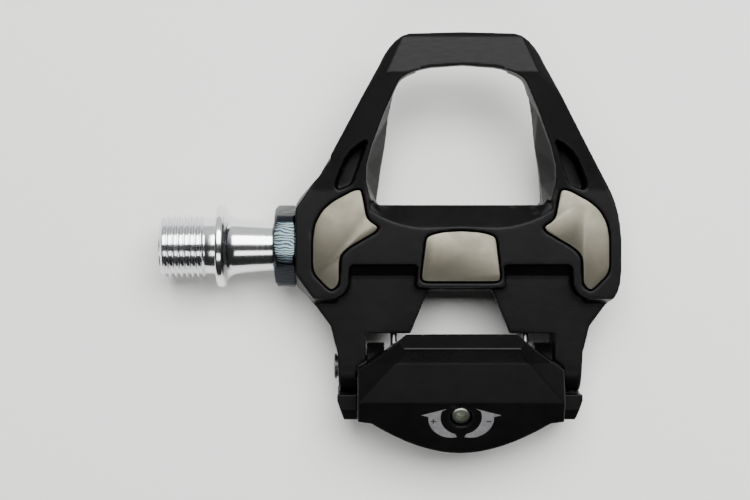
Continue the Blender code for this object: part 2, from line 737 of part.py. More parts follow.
def wing_plate_outline(side):
    """Contact plate on a wing, as (in from the wing's edge, y)."""
    points = mm(
        (11.7, 12.3), (13.3, 12.5), (13.7, 11.4), (14.6, 6.4), (15.5, 5.3), (17.2, 4.3), (16.8, 3.3),
        (10.8, -0.2), (9.1, -1.7), (8.6, -3.3), (8.5, -8.5), (7.1, -9.8), (6.1, -9.4),
        (3.2, -6.4), (2.7, -4.7), (2.7, 1.4), (3.2, 4.8), (4.8, 7.8), (7.1, 9.8),
    )
    return soften([(side * (HALF_WIDTH - inset), y) for inset, y in points], PLATE_CORNER)


def centre_plate_outline():
    half = mm((0, 3.3), (4.4, 3.0), (7.0, 2.3), (7.8, 1.5), (8.8, -7.2), (8.2, -7.9))
    return soften(mirror_points(half), PLATE_CORNER)


def platform_holes(body):
    """Bores for the cartridge and the claw's pin, and the plate screws' steps."""
    cut_turned(body, "cartridge_bore", [
        (BORE_END_X, 0),
        (BORE_END_X, CARTRIDGE_BORE_R),
        (LOCK_END_X + GAP, CARTRIDGE_BORE_R),
        (LOCK_END_X + GAP, LOCK_BORE_R),
        (BOSS_X - PAST, LOCK_BORE_R),
        (BOSS_X - PAST, 0),
    ])
    cut_with(body, "pin_bore", rod(
        "pin_bore", PIN_R + SLIDE_FIT,
        (-HALF_WIDTH, PIN_Y, PIN_Z), (HALF_WIDTH, PIN_Y, PIN_Z), sides=ROUND,
    ))
    boss_floor = -PLATE_THICKNESS - PLATE_BOSS_LENGTH - GAP
    head_floor = boss_floor - 1.6 * MM
    for side in (-1, 1):
        x, y = side * SCREW_X, SCREW_Y
        cut_with(body, "boss_hole", rod(
            "boss_hole", PLATE_BOSS_R + GAP, (x, y, boss_floor), (x, y, PAST), sides=20))
        cut_with(body, "screw_hole", rod(
            "screw_hole", SCREW_R + GAP, (x, y, UNDER_Z - PAST), (x, y, boss_floor + PAST), sides=16))
        cut_with(body, "screw_head_hole", rod(
            "screw_head_hole", SCREW_HEAD_R + GAP, (x, y, UNDER_Z - PAST), (x, y, head_floor), sides=20))


def make_platform():
    body = add_part("pedal_body", extrude_outline(
        "pedal_body", platform_outline(), UNDER_Z - PAST, HOOK_RISE + PAST), "composite")
    side = extrude_outline(
        "side_view", platform_side(), -HALF_WIDTH - 2 * PAST, HALF_WIDTH + 2 * PAST, axis="X")
    combine(body, add_cutter("side_view", side), "INTERSECT")
    join_with(body, "axle_boss", extrude_outline("axle_boss", [
        (BOSS_X, BOSS_HALF), (BOSS_X, -BOSS_HALF), (BOSS_X + 2.4 * MM, -BOSS_HALF - 2.0 * MM),
        (BOSS_X + 6.0 * MM, -BOSS_HALF - 2.0 * MM), (BOSS_X + 6.0 * MM, BOSS_HALF + 7.0 * MM),
        (BOSS_X + 3.8 * MM, BOSS_HALF + 4.8 * MM), (BOSS_X + 0.8 * MM, BOSS_HALF + 1.5 * MM),
    ], UNDER_Z + 4.0 * MM, TOP_Z))
    flank_low = -5.5 * MM
    cut_with(body, "boss_flank", wedge_beyond(
        "boss_flank", (BOSS_X + 6.3 * MM, BOSS_HALF + 8.0 * MM, TOP_Z),
        (BOSS_X + 0.6 * MM, BOSS_HALF - 0.2 * MM, TOP_Z),
        (BOSS_X + 2.5 * MM, BOSS_HALF + 4.6 * MM, flank_low), (-1, 0.7, 0.3), 16 * MM))
    cut_with(body, "boss_flank", wedge_beyond(
        "boss_flank", (BOSS_X + 4.7 * MM, -BOSS_HALF - 3.4 * MM, TOP_Z),
        (BOSS_X, -BOSS_HALF + 3.0 * MM, TOP_Z),
        (BOSS_X + 1.3 * MM, -BOSS_HALF - 1.0 * MM, flank_low), (-1, -0.7, 0.3), 14 * MM))

    cut_with(body, "window", window_cutter())
    front = FRONT_REACH - BAR_DEPTH
    cut_with(body, "hook_undercut", box(
        "hook_undercut", (-10 * MM, front - 5 * MM, -LOOP_DEPTH - 3 * PAST),
        (10 * MM, front + HOOK_UNDERCUT, HOOK_RISE - HOOK_LIP)))
    cut_with(body, "scoop", scoop_cutter())

    deck_edge = mirror_points([
        (9.4 * MM, WING_BACK + 2.5 * MM), (9.9 * MM, WING_BACK + 3.1 * MM), (9.6 * MM, -4.7 * MM),
        (10.1 * MM, -4.2 * MM), (WING_INNER - 0.6 * MM, -4.2 * MM), (WING_INNER, -4.8 * MM),
        (WING_INNER + 0.2 * MM, -8.6 * MM), (WING_INNER + 0.9 * MM, -10.1 * MM),
        (WING_INNER + 1.9 * MM, -11.1 * MM), (WING_INNER + 3.2 * MM, WING_BACK),
        (WING_INNER + 3.2 * MM, DECK_BACK - PAST),
    ])
    cut_with(body, "deck", extrude_outline("deck", deck_edge, DECK_Z, PAST))
    cut_with(body, "notch", extrude_outline("notch", mirror_points([
        (7.2 * MM, -TUNNEL_DEPTH - GAP), (11.3 * MM, DECK_BACK - 0.3 * MM), (11.3 * MM, DECK_BACK - PAST)
    ]), UNDER_Z - PAST, DECK_Z + PAST))
    cut_with(body, "claw_bay", extrude_outline("claw_bay", mirror_points([
        (ARM_INNER, DECK_BACK),
        (ARM_INNER, PIN_Y + 1.7 * MM),
        (ARM_INNER + ARM_STEP, PIN_Y + 0.2 * MM),
        (ARM_INNER + ARM_STEP, PIN_Y - ARM_END_R - 2 * PAST),
    ]), UNDER_Z - PAST, HOOK_RISE + PAST))
    cut_with(body, "under_deck", box(
        "under_deck", (-ARM_INNER, DECK_BACK - PAST, UNDER_Z - PAST),
        (ARM_INNER, -TUNNEL_DEPTH - 1.4 * MM, DECK_UNDER_Z)))

    join_with(body, "axle_tunnel", rod(
        "axle_tunnel", max(LOCK_BORE_R, CARTRIDGE_BORE_R) + TUNNEL_WALL,
        (BOSS_X + PAST, 0, AXLE_Z), (BORE_END_X + TUNNEL_WALL, 0, AXLE_Z), sides=ROUND))
    cut_with(body, "outboard_relief", wedge_beyond(
        "outboard_relief",
        (BORE_END_X + 3.0 * MM, 0, UNDER_Z), (BORE_END_X + 3.0 * MM, PAST, UNDER_Z),
        (HALF_WIDTH, 0, AXLE_Z + 1.5 * MM), (1, 0, -1), 60 * MM))

    for side in (-1, 1):
        cut_with(body, "pocket", extrude_outline(
            "pocket", pocket_outline(side), POCKET_FLOOR, HOOK_RISE + PAST))
        cut_with(body, "wing_seat", extrude_outline(
            "wing_seat", grow_outline(wing_plate_outline(side), GAP), -PLATE_THICKNESS - GAP, PAST))
        cut_with(body, "bar_chamfer", wedge_beyond(
            "bar_chamfer",
            (side * 13.4 * MM, FRONT_REACH - 1.5 * MM, HOOK_RISE - 1.0 * MM),
            (side * 17.0 * MM, FRONT_REACH - 9.5 * MM, HOOK_RISE),
            (side * LOOP_CORNER[0], FRONT_REACH - 3.6 * MM, HOOK_RISE - 3.6 * MM),
            (side, 0.4, 1), 60 * MM))
    cut_with(body, "centre_seat", extrude_outline(
        "centre_seat", grow_outline(centre_plate_outline(), GAP), -PLATE_THICKNESS - GAP, PAST))
    platform_holes(body)


def make_contact_plates():
    boss_end = -PLATE_THICKNESS - PLATE_BOSS_LENGTH
    for side, side_name in ((-1, "left"), (1, "right")):
        x, y = side * SCREW_X, SCREW_Y
        plate = add_part(f"contact_plate_{side_name}", extrude_outline(
            "wing_plate", wing_plate_outline(side), -PLATE_THICKNESS, 0), "stainless")
        join_with(plate, "plate_boss", rod(
            "plate_boss", PLATE_BOSS_R, (x, y, boss_end), (x, y, -PLATE_THICKNESS / 2), sides=20))
        cut_with(plate, "plate_thread", rod(
            "plate_thread", SCREW_R + GAP / 2, (x, y, boss_end - PAST), (x, y, -PLATE_THICKNESS), sides=16))
        screw_top = -PLATE_THICKNESS - GAP
        head_top = boss_end - GAP - 1.6 * MM - GAP
        screw = add_part(f"plate_screw_{side_name}", rod(
            "plate_screw", SCREW_R, (x, y, head_top - SCREW_HEAD_LENGTH / 2), (x, y, screw_top), sides=16),
            "zinc_steel", (x, y, head_top))
        join_with(screw, "plate_screw_head", rod(
            "plate_screw_head", SCREW_HEAD_R,
            (x, y, head_top - SCREW_HEAD_LENGTH), (x, y, head_top), sides=20))
        cut_with(screw, "plate_screw_key", rod(
            "plate_screw_key", 1.0 * MM,
            (x, y, head_top - SCREW_HEAD_LENGTH - PAST), (x, y, head_top - 0.5 * MM), sides=6))
    add_part("contact_plate_centre", extrude_outline(
        "centre_plate", centre_plate_outline(), -PLATE_THICKNESS, 0), "stainless")


# Claw

def claw_outline():
    """Plan of the claw's upper shell, from its lip to its tail."""
    shoulder_y = PIN_Y + 1.3 * MM
    tail = PIN_Y - CLAW_TAIL
    half = [
        (0, PIN_Y + 8.0 * MM),
        (CLAW_LIP_HALF, PIN_Y + 7.8 * MM),
        (CLAW_LIP_HALF + 3.7 * MM, PIN_Y + 4.7 * MM),
        (CLAW_INNER - GAP, shoulder_y),
        (CLAW_HALF, PIN_Y - 0.2 * MM),
        (CLAW_HALF, PIN_Y - 11.8 * MM),
    ]
    half += bend_points((CLAW_HALF - 3.0 * MM, PIN_Y - 12.2 * MM), (9.0 * MM, tail), (0, tail), 8)
    return mirror_points(half)


def claw_side():
    """Side view of the claw's shell, as (y, z), from the lip over the top to the tail."""
    top_y, top_z = APRON_TOP
    tail_z = top_z - (CLAW_TAIL + top_y) * math.tan(APRON_SLOPE)
    from_pin = [
        (6.0 * MM, 11.2 * MM),
        (7.9 * MM, 11.5 * MM),
        (7.9 * MM, 12.6 * MM),
        (4.9 * MM, 15.0 * MM),
        (1.5 * MM, 14.6 * MM),
        APRON_TOP,
        (-CLAW_TAIL - PAST, tail_z - PAST * math.tan(APRON_SLOPE)),
        (-CLAW_TAIL - PAST, tail_z - 1.8 * MM),
        (-CLAW_TAIL + 4.5 * MM, tail_z - 5.0 * MM),
        (-11.2 * MM, -4.4 * MM),
        (-6.2 * MM, -4.8 * MM),
        (-2.6 * MM, -2.0 * MM),
        (1.4 * MM, 2.0 * MM),
        (5.4 * MM, 5.6 * MM),
        (6.0 * MM, 6.2 * MM),
    ]
    return [(PIN_Y + y, PIN_Z + z) for y, z in from_pin]


def claw_hollow():
    """Room inside the claw for the springs and the nut plate, open below."""
    top_y, top_z = APRON_TOP
    inner_tail = CLAW_TAIL - CLAW_WALL - 1.0 * MM
    inner_tail_z = top_z - (inner_tail + top_y) * math.tan(APRON_SLOPE) - CLAW_WALL
    from_pin = [
        (8.0 * MM, 5.4 * MM),
        (4.0 * MM, 5.4 * MM),
        (4.0 * MM, 14.6 * MM - CLAW_WALL),
        (1.4 * MM, 14.5 * MM - CLAW_WALL),
        (top_y, top_z - CLAW_WALL),
        (-inner_tail, inner_tail_z),
        (-inner_tail, inner_tail_z - 2.0 * MM),
        (-CLAW_TAIL + 4.5 * MM, -12.0 * MM),
        (8.0 * MM, -12.0 * MM),
    ]
    return [(PIN_Y + y, PIN_Z + z) for y, z in from_pin]


def make_claw():
    claw = add_part("rear_claw", extrude_outline(
        "rear_claw", claw_outline(), PIN_Z - 10 * MM, PIN_Z + 18 * MM), "composite", PIN_CENTRE)
    side = extrude_outline("claw_side", claw_side(), -CLAW_HALF - PAST, CLAW_HALF + PAST, axis="X")
    combine(claw, add_cutter("claw_side", side), "INTERSECT")
    lug_out = CLAW_INNER
    lug_in = lug_out - CLAW_LUG_WIDTH
    for side in (-1, 1):
        cut_with(claw, "claw_facet", wedge_beyond(
            "claw_facet",
            (side * 14.9 * MM, PIN_Y + 1.5 * MM, PIN_Z + 14.6 * MM),
            (side * (CLAW_HALF - 0.25 * MM), PIN_Y + APRON_TOP[0], PIN_Z + APRON_TOP[1]),
            (side * CLAW_HALF, PIN_Y - 0.2 * MM, PIN_Z + 9.4 * MM),
            (side, 0.4, 1), 24 * MM))
        join_with(claw, "claw_lug", rod(
            "claw_lug", ARM_END_R - GAP,
            (side * lug_in, PIN_Y, PIN_Z), (side * lug_out, PIN_Y, PIN_Z), sides=ROUND))
        ear = mm(
            (-6.1, 5.2), (-6.1, 0), (-5.5, -2.5), (-4.7, -3.8), (-5.4, -5.2), (-11.9, -3.2), (-11.9, 3.6),
            (-9.5, 5.2),
        )
        ear_tip = side * (CLAW_HALF + CLAW_EAR)
        ear_in, ear_out = sorted((side * (CLAW_HALF - PAST), ear_tip))
        ear = [(PIN_Y + y, PIN_Z + z) for y, z in ear]
        join_with(claw, "claw_ear", extrude_outline("claw_ear", ear, ear_in, ear_out, axis="X"))
        cut_with(claw, "ear_taper", wedge_beyond(
            "ear_taper",
            (ear_tip, PIN_Y - 7.4 * MM, PIN_Z), (ear_tip, PIN_Y - 7.4 * MM, 0),
            (ear_tip - side * 1.5 * MM, PIN_Y - 11.9 * MM, PIN_Z), (side, -0.2, 0), 20 * MM))
    cut_with(claw, "claw_hollow", extrude_outline(
        "claw_hollow", claw_hollow(), -lug_in, lug_in, axis="X"))
    flank = box(
        "arm_room", (-HALF_WIDTH, PIN_Y - 2.2 * MM, PIN_Z - 9 * MM), (-lug_out, PIN_Y + 9 * MM, PIN_Z + 2 * MM))
    cut_with(claw, "arm_room_left", flank)
    flank = box(
        "arm_room", (lug_out, PIN_Y - 2.2 * MM, PIN_Z - 9 * MM), (HALF_WIDTH, PIN_Y + 9 * MM, PIN_Z + 2 * MM))
    cut_with(claw, "arm_room_right", flank)

    mouth = BOLT_MOUTH
    join_with(claw, "bolt_boss", rod(
        "bolt_boss", BOLT_BOSS_R, mouth + BOLT_AXIS * CLAW_WALL / 2, mouth + BOLT_AXIS * BOLT_BOSS_DEPTH))
    head_seat = BOLT_RECESS + BOLT_HEAD_LENGTH + GAP
    cut_with(claw, "bolt_recess", rod(
        "bolt_recess", BOLT_HEAD_R + 1.5 * GAP, mouth - BOLT_AXIS * 2 * PAST, mouth + BOLT_AXIS * head_seat))
    cut_with(claw, "bolt_hole", rod(
        "bolt_hole", BOLT_R + SLIDE_FIT, mouth, mouth + BOLT_AXIS * (BOLT_BOSS_DEPTH + PAST)))
    cut_with(claw, "claw_pin_bore", rod(
        "claw_pin_bore", PIN_R + SLIDE_FIT,
        (-HALF_WIDTH, PIN_Y, PIN_Z), (HALF_WIDTH, PIN_Y, PIN_Z), sides=ROUND))


def make_pin():
    pin = add_part("claw_pin", rod(
        "claw_pin", PIN_R, (-ARM_OUTER - GAP - PIN_HEAD_LENGTH / 2, PIN_Y, PIN_Z),
        (ARM_OUTER - GAP, PIN_Y, PIN_Z), sides=ROUND), "black_steel", PIN_CENTRE)
    join_with(pin, "pin_head", rod(
        "pin_head", PIN_HEAD_R, (-ARM_OUTER - GAP - PIN_HEAD_LENGTH, PIN_Y, PIN_Z),
        (-ARM_OUTER - GAP, PIN_Y, PIN_Z), sides=ROUND))


def spring_route(side):
    """A front leg under the deck, the coil round the pin, and a rear leg under the nut plate."""
    points_per_turn = 10
    last = SPRING_TURNS * points_per_turn + points_per_turn // 2
    route = [
        Vector((side * SPRING_INNER_X + side * SPRING_PITCH * last / points_per_turn,
                DECK_BACK + 1.6 * MM, DECK_UNDER_Z - GAP - WIRE_R)),
    ]
    for step in range(last, -1, -1):
        angle = math.radians(90 + 360 * (last - step) / points_per_turn)
        x = side * (SPRING_INNER_X + SPRING_PITCH * step / points_per_turn)
        route.append(Vector((
            x, PIN_Y + SPRING_R * math.cos(angle), PIN_Z + SPRING_R * math.sin(angle))))
    route.append(Vector((side * SPRING_INNER_X, PIN_Y - 7.2 * MM, PIN_Z - SPRING_R - 0.9 * MM)))
    return route


def make_springs():
    for side, side_name in ((-1, "left"), (1, "right")):
        curve = bpy.data.curves.new(f"spring_{side_name}", "CURVE")
        curve.dimensions = "3D"
        curve.bevel_depth = WIRE_R
        curve.bevel_resolution = 2
        curve.use_fill_caps = True
        spline = curve.splines.new("POLY")
        route = spring_route(side)
        spline.points.add(len(route) - 1)
        for control, point in zip(spline.points, route):
            control.co = (*(point - PIN_CENTRE), 1)
        curve.materials.append(finishes["spring_steel"])
        spring = bpy.data.objects.new(f"spring_{side_name}", curve)
        spring.location = PIN_CENTRE
        parts.objects.link(spring)


def make_tension_bolt():
    mouth = BOLT_MOUTH
    head_top = mouth + BOLT_AXIS * BOLT_RECESS
    head_end = head_top + BOLT_AXIS * BOLT_HEAD_LENGTH
    bolt = add_part("tension_bolt", rod(
        "tension_bolt", BOLT_R, head_end - BOLT_AXIS * PAST, head_end + BOLT_AXIS * BOLT_LENGTH,
        sides=20), "zinc_steel", head_top)
    join_with(bolt, "tension_bolt_head", rod("tension_bolt_head", BOLT_HEAD_R, head_top, head_end, sides=24))
    cut_with(bolt, "tension_bolt_key", rod(
        "tension_bolt_key", across_corners(BOLT_KEY_AF),
        head_top - BOLT_AXIS * PAST, head_top + BOLT_AXIS * 1.8 * MM, sides=6))


def make_nut_plate():
    start = BOLT_BOSS_DEPTH + GAP + NUT_TRAVEL
    centre = BOLT_MOUTH + BOLT_AXIS * (start + NUT_THICKNESS / 2)
    along_slope = Vector((0, math.cos(APRON_SLOPE), math.sin(APRON_SLOPE)))
    turn = Matrix.Translation(centre) @ Matrix((
        (1, 0, 0), (0, along_slope.y, -BOLT_AXIS.y), (0, along_slope.z, -BOLT_AXIS.z),
    )).to_4x4()
    half = NUT_THICKNESS / 2
    hub = box("tension_nut_plate", (-NUT_HUB_HALF, -NUT_HUB_HALF, -half), (NUT_HUB_HALF, NUT_HUB_HALF, half))
    hub.transform(turn)
    plate = add_part("tension_nut_plate", hub, "zinc_steel", centre)
    bar = box(
        "nut_bar", (-NUT_HALF_LENGTH, -NUT_BAR_OFFSET - NUT_BAR_WIDTH / 2, -half + GAP),
        (NUT_HALF_LENGTH, -NUT_BAR_OFFSET + NUT_BAR_WIDTH / 2, half - GAP))
    bar.transform(turn)
    join_with(plate, "nut_bar", bar)
    cut_with(plate, "nut_thread", rod(
        "nut_thread", BOLT_R + SLIDE_FIT, centre - BOLT_AXIS * NUT_THICKNESS,
        centre + BOLT_AXIS * NUT_THICKNESS))


def smooth_round_parts():
    for part in parts.objects:
        if part.type == "MESH":
            part.data.shade_smooth()
            part.data.set_sharp_from_angle(angle=math.radians(30))


clear_scene()
parts = new_collection("clipless_pedal")
cutters = new_collection("cutters")
finishes = {name: new_finish(name) for name in FINISHES}
make_axle()
make_cartridge()
make_lock_bolt()
make_platform()
make_contact_plates()
make_claw()
make_pin()
make_springs()
make_tension_bolt()
make_nut_plate()
smooth_round_parts()
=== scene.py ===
import math

import bmesh
import bpy
from mathutils import Matrix, Vector


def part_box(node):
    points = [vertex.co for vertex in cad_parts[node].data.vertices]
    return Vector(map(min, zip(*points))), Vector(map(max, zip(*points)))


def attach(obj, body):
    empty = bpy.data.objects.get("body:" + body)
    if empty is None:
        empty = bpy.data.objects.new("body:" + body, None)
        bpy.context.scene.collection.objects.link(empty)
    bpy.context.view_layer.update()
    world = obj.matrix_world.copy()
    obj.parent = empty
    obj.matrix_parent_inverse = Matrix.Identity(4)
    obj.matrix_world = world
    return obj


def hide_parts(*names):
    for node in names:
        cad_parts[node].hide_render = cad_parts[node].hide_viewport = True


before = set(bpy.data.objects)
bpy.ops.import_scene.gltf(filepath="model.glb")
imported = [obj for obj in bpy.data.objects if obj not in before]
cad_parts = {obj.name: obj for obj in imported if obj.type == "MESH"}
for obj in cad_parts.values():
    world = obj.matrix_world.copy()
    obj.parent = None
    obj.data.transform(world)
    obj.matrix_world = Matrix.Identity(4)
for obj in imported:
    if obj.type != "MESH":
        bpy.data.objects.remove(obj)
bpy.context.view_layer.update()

mm = 0.001
axleZ = -10 * mm            # the spindle's axis runs along X at this height
pinY, pinZ = -27.4 * mm, -10 * mm      # so does the claw pin's axis, here


def sharpen(mesh, angle):
    # smooth shading that breaks where faces meet at more than this many degrees
    mesh.shade_smooth()
    mesh.set_sharp_from_angle(angle=math.radians(angle))


def linkPiece(name, bm, material, sharpAngle=35):
    # uses the bmesh up
    mesh = bpy.data.meshes.new(name)
    bm.to_mesh(mesh)
    bm.free()
    mesh.materials.clear()
    mesh.materials.append(material)
    sharpen(mesh, sharpAngle)
    piece = bpy.data.objects.new(name, mesh)
    bpy.context.scene.collection.objects.link(piece)
    return piece


def bakeModifiers(piece, sharpAngle=None):
    # applies the modifiers to the piece's own mesh
    bpy.context.view_layer.update()
    graph = bpy.context.evaluated_depsgraph_get()
    baked = bpy.data.meshes.new_from_object(piece.evaluated_get(graph))
    piece.modifiers.clear()
    old = piece.data
    piece.data = baked
    bpy.data.meshes.remove(old)
    if sharpAngle:
        sharpen(baked, sharpAngle)


def cutWith(piece, cutter, operation="DIFFERENCE"):
    # cutter is a bmesh, used up here
    mesh = bpy.data.meshes.new("cutter")
    cutter.to_mesh(mesh)
    cutter.free()
    tool = bpy.data.objects.new("cutter", mesh)
    bpy.context.scene.collection.objects.link(tool)
    step = piece.modifiers.new("cut", "BOOLEAN")
    step.operation = operation
    step.object = tool
    bakeModifiers(piece)
    bpy.data.objects.remove(tool)
    bpy.data.meshes.remove(mesh)


def tidy(bm):
    bmesh.ops.remove_doubles(bm, verts=bm.verts, dist=0.002 * mm)
    bmesh.ops.recalc_face_normals(bm, faces=bm.faces)
    return bm


def lathe(profile, steps=96, closed=False, centre=(0, 0, axleZ)):
    # profile: (x, radius) pairs in mm, turned round the spindle's axis
    bm = bmesh.new()
    verts = [bm.verts.new((x * mm + centre[0], centre[1], centre[2] + r * mm)) for x, r in profile]
    edges = [bm.edges.new(pair) for pair in zip(verts, verts[1:])]
    if closed:
        edges.append(bm.edges.new((verts[-1], verts[0])))
    bmesh.ops.spin(
        bm, geom=verts + edges, cent=centre, axis=(1, 0, 0), dvec=(0, 0, 0),
        angle=2 * math.pi, steps=steps, use_merge=True,
    )
    return tidy(bm)


def bar(start, end, radius, sides=32, turn=0, taper=1.0):
    # a round or many-sided bar between two points, all in mm
    start, end = Vector(start) * mm, Vector(end) * mm
    along = end - start
    bm = bmesh.new()
    bmesh.ops.create_cone(
        bm, cap_ends=True, segments=sides, radius1=radius * mm, radius2=radius * taper * mm,
        depth=along.length,
    )
    bmesh.ops.rotate(bm, verts=bm.verts, matrix=Matrix.Rotation(math.radians(turn), 3, "Z"))
    facing = along.to_track_quat("Z", "Y").to_matrix().to_4x4()
    bmesh.ops.transform(bm, verts=bm.verts, matrix=Matrix.Translation(start + along / 2) @ facing)
    return bm


def onAxle(x):
    return x, 0, axleZ / mm


def slab(points, low, high):
    # a flat outline in mm, pulled up from one height to another
    bm = bmesh.new()
    face = bm.faces.new([bm.verts.new((x * mm, y * mm, low * mm)) for x, y in points])
    pulled = bmesh.ops.extrude_face_region(bm, geom=[face])
    top = [v for v in pulled["geom"] if isinstance(v, bmesh.types.BMVert)]
    bmesh.ops.translate(bm, verts=top, vec=(0, 0, (high - low) * mm))
    bmesh.ops.recalc_face_normals(bm, faces=bm.faces)
    return bm


def settle(piece, body, node=None):
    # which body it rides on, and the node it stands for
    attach(piece, body)
    if node:
        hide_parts(node)


def copyOfNode(name, node, material):
    bm = bmesh.new()
    bm.from_mesh(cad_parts[node].data)
    tidy(bm)
    return linkPiece(name, bm, material)


def mould(piece, look):
    # soft moulded edges: even grid, a few smoothing rounds, then a lighter mesh
    grid = piece.modifiers.new("grid", "REMESH")
    grid.mode = "VOXEL"
    grid.voxel_size = look["voxel"] * mm
    soft = piece.modifiers.new("soft", "SMOOTH")
    soft.factor = 0.5
    soft.iterations = look["rounds"]
    light = piece.modifiers.new("light", "DECIMATE")
    light.ratio = look["keep"]
    bakeModifiers(piece)
    piece.data.shade_smooth()
    return piece


def newMaterial(name, colour, roughness, metallic=0.0, **sockets):
    material = bpy.data.materials.new(name)
    material.use_nodes = True
    shader = material.node_tree.nodes["Principled BSDF"]
    shader.inputs["Base Color"].default_value = (*colour, 1)
    shader.inputs["Roughness"].default_value = roughness
    shader.inputs["Metallic"].default_value = metallic
    for socket, value in sockets.items():
        shader.inputs[socket.replace("_", " ")].default_value = value
    return material


def addNode(material, kind, **settings):
    node = material.node_tree.nodes.new(kind)
    for key, value in settings.items():
        setattr(node, key, value)
    return node


def join(material, output, target):
    material.node_tree.links.new(output, target)


def noise(material, scale, detail=3.0, rough=0.5, stretch=(1, 1, 1)):
    # noise on the piece's own coordinates, in cells per metre
    place = addNode(material, "ShaderNodeTexCoord")
    sizer = addNode(material, "ShaderNodeMapping")
    sizer.inputs["Scale"].default_value = stretch
    grain = addNode(material, "ShaderNodeTexNoise")
    grain.inputs["Scale"].default_value = scale
    grain.inputs["Detail"].default_value = detail
    grain.inputs["Roughness"].default_value = rough
    join(material, place.outputs["Object"], sizer.inputs["Vector"])
    join(material, sizer.outputs["Vector"], grain.inputs["Vector"])
    return grain.outputs["Fac"]


def ramp(material, source, stops):
    # stops: (place, value or colour)
    band = addNode(material, "ShaderNodeValToRGB")
    elements = band.color_ramp.elements
    while len(elements) < len(stops):
        elements.new(0.5)
    for element, (place, value) in zip(elements, stops):
        element.position = place
        element.color = (*value, 1) if isinstance(value, tuple) else (value, value, value, 1)
    join(material, source, band.inputs["Fac"])
    return band.outputs["Color"]


def mixColours(material, factor, a, b):
    mix = addNode(material, "ShaderNodeMix", data_type="RGBA")
    slots = [s for s in mix.inputs if s.enabled]
    for value, socket in zip((factor, a, b), slots):
        if isinstance(value, bpy.types.NodeSocket):
            join(material, value, socket)
        elif isinstance(value, tuple):
            socket.default_value = (*value, 1)
        else:
            socket.default_value = value
    return [s for s in mix.outputs if s.enabled][0]


def setInput(material, socket, output):
    shader = material.node_tree.nodes["Principled BSDF"]
    join(material, output, shader.inputs[socket])


def bump(material, heights):
    # heights: (output, strength, depth in mm), stacked into one normal
    after = None
    for output, strength, depth in heights:
        node = addNode(material, "ShaderNodeBump")
        node.inputs["Strength"].default_value = strength
        node.inputs["Distance"].default_value = depth * mm
        join(material, output, node.inputs["Height"])
        if after:
            join(material, after, node.inputs["Normal"])
        after = node.outputs["Normal"]
    setInput(material, "Normal", after)


def edgeWear(material, low, high):
    # 0 in flats, 1 on outside edges
    place = addNode(material, "ShaderNodeNewGeometry")
    return ramp(material, place.outputs["Pointiness"], [(low, 0.0), (high, 1.0)])


compositeLook = {
    "colour": (0.0024, 0.0024, 0.0025), "worn": (0.010, 0.010, 0.010), "specular": 0.09,
    "roughness": (0.30, 0.42), "rubbed": (0.17, 0.17, 0.17), "rubbedEdge": 0.15, "grainPerMetre": 5200,
    "edges": (0.505, 0.60), "cloud": 0.22, "scuff": 0.35,
}


def compositeMaterial(name, look, shade=1.0, rubbedFrom=None):
    # shade darkens the colour as painted shade; ahead of rubbedFrom, a Y in mm, the cleat has polished it
    material = newMaterial(name, look["colour"], 0.5, Specular_IOR_Level=look["specular"])
    cloud = noise(material, 140, 4, 0.55)
    flow = noise(material, 420, 4, 0.6, stretch=(1, 6, 1))
    grain = noise(material, look["grainPerMetre"], 2, 0.5)
    scuff = noise(material, 260, 8, 0.75, stretch=(1, 9, 3))
    # painted shade: with shade below 1 the plastic and its wear colour come out darker than the body's
    dark = tuple(c * shade for c in look["colour"])
    worn = tuple(c * shade for c in look["worn"])
    edges = edgeWear(material, *look["edges"])
    base = mixColours(material, ramp(material, cloud, [(0.35, 0.0), (0.75, look["cloud"])]), dark, worn)
    base = mixColours(material, edges, base, worn)
    base = mixColours(material, ramp(material, scuff, [(0.66, 0.0), (0.80, look["scuff"])]), base, worn)
    setInput(material, "Base Color", base)
    low, high = look["roughness"]
    dull = ramp(material, flow, [(0.3, low), (0.7, high)])
    if rubbedFrom is not None:
        place = addNode(material, "ShaderNodeTexCoord")
        split = addNode(material, "ShaderNodeSeparateXYZ")
        ahead = addNode(material, "ShaderNodeMapRange")
        ahead.inputs["From Min"].default_value = (rubbedFrom - look["rubbedEdge"]) * mm
        ahead.inputs["From Max"].default_value = (rubbedFrom + look["rubbedEdge"]) * mm
        join(material, place.outputs["Object"], split.inputs["Vector"])
        join(material, split.outputs["Y"], ahead.inputs["Value"])
        dull = mixColours(material, ahead.outputs["Result"], dull, look["rubbed"])
    setInput(material, "Roughness", dull)
    bump(material, [(grain, 0.35, 0.03), (flow, 0.2, 0.05)])
    return material


steelLook = {
    "colour": (0.088, 0.082, 0.063), "light": (0.128, 0.121, 0.095), "darker": 0.72,
    "roughness": (0.30, 0.40), "blastPerMetre": 5200,
}


def blastedSteelMaterial(name, look):
    material = newMaterial(name, look["colour"], 0.5, 1.0)
    blast = noise(material, look["blastPerMetre"], 3, 0.65)
    cloud = noise(material, 150, 4, 0.6)
    speck = noise(material, 2300, 5, 0.7)
    patches = ramp(material, cloud, [(0.3, 0.0), (0.72, 1.0)])
    base = mixColours(material, patches, look["colour"], look["light"])
    darker = tuple(c * look["darker"] for c in look["colour"])
    base = mixColours(material, ramp(material, speck, [(0.62, 0.0), (0.78, 0.55)]), base, darker)
    setInput(material, "Base Color", base)
    low, high = look["roughness"]
    setInput(material, "Roughness", ramp(material, cloud, [(0.3, high), (0.7, low)]))
    bump(material, [(blast, 0.6, 0.02), (speck, 0.25, 0.02)])
    return material


def chromeMaterial(name, colour, roughness, lines):
    # lines: how strong the fine turning marks round the axis are
    material = newMaterial(name, colour, roughness, 1.0)
    turning = noise(material, 1500, 3, 0.6, stretch=(4, 0.05, 0.05))
    ripple = noise(material, 260, 2, 0.5)
    marks = ramp(material, turning, [(0.35, roughness * 0.7), (0.7, roughness * 1.6)])
    setInput(material, "Roughness", marks)
    bump(material, [(turning, lines, 0.004), (ripple, 0.08, 0.02)])
    return material
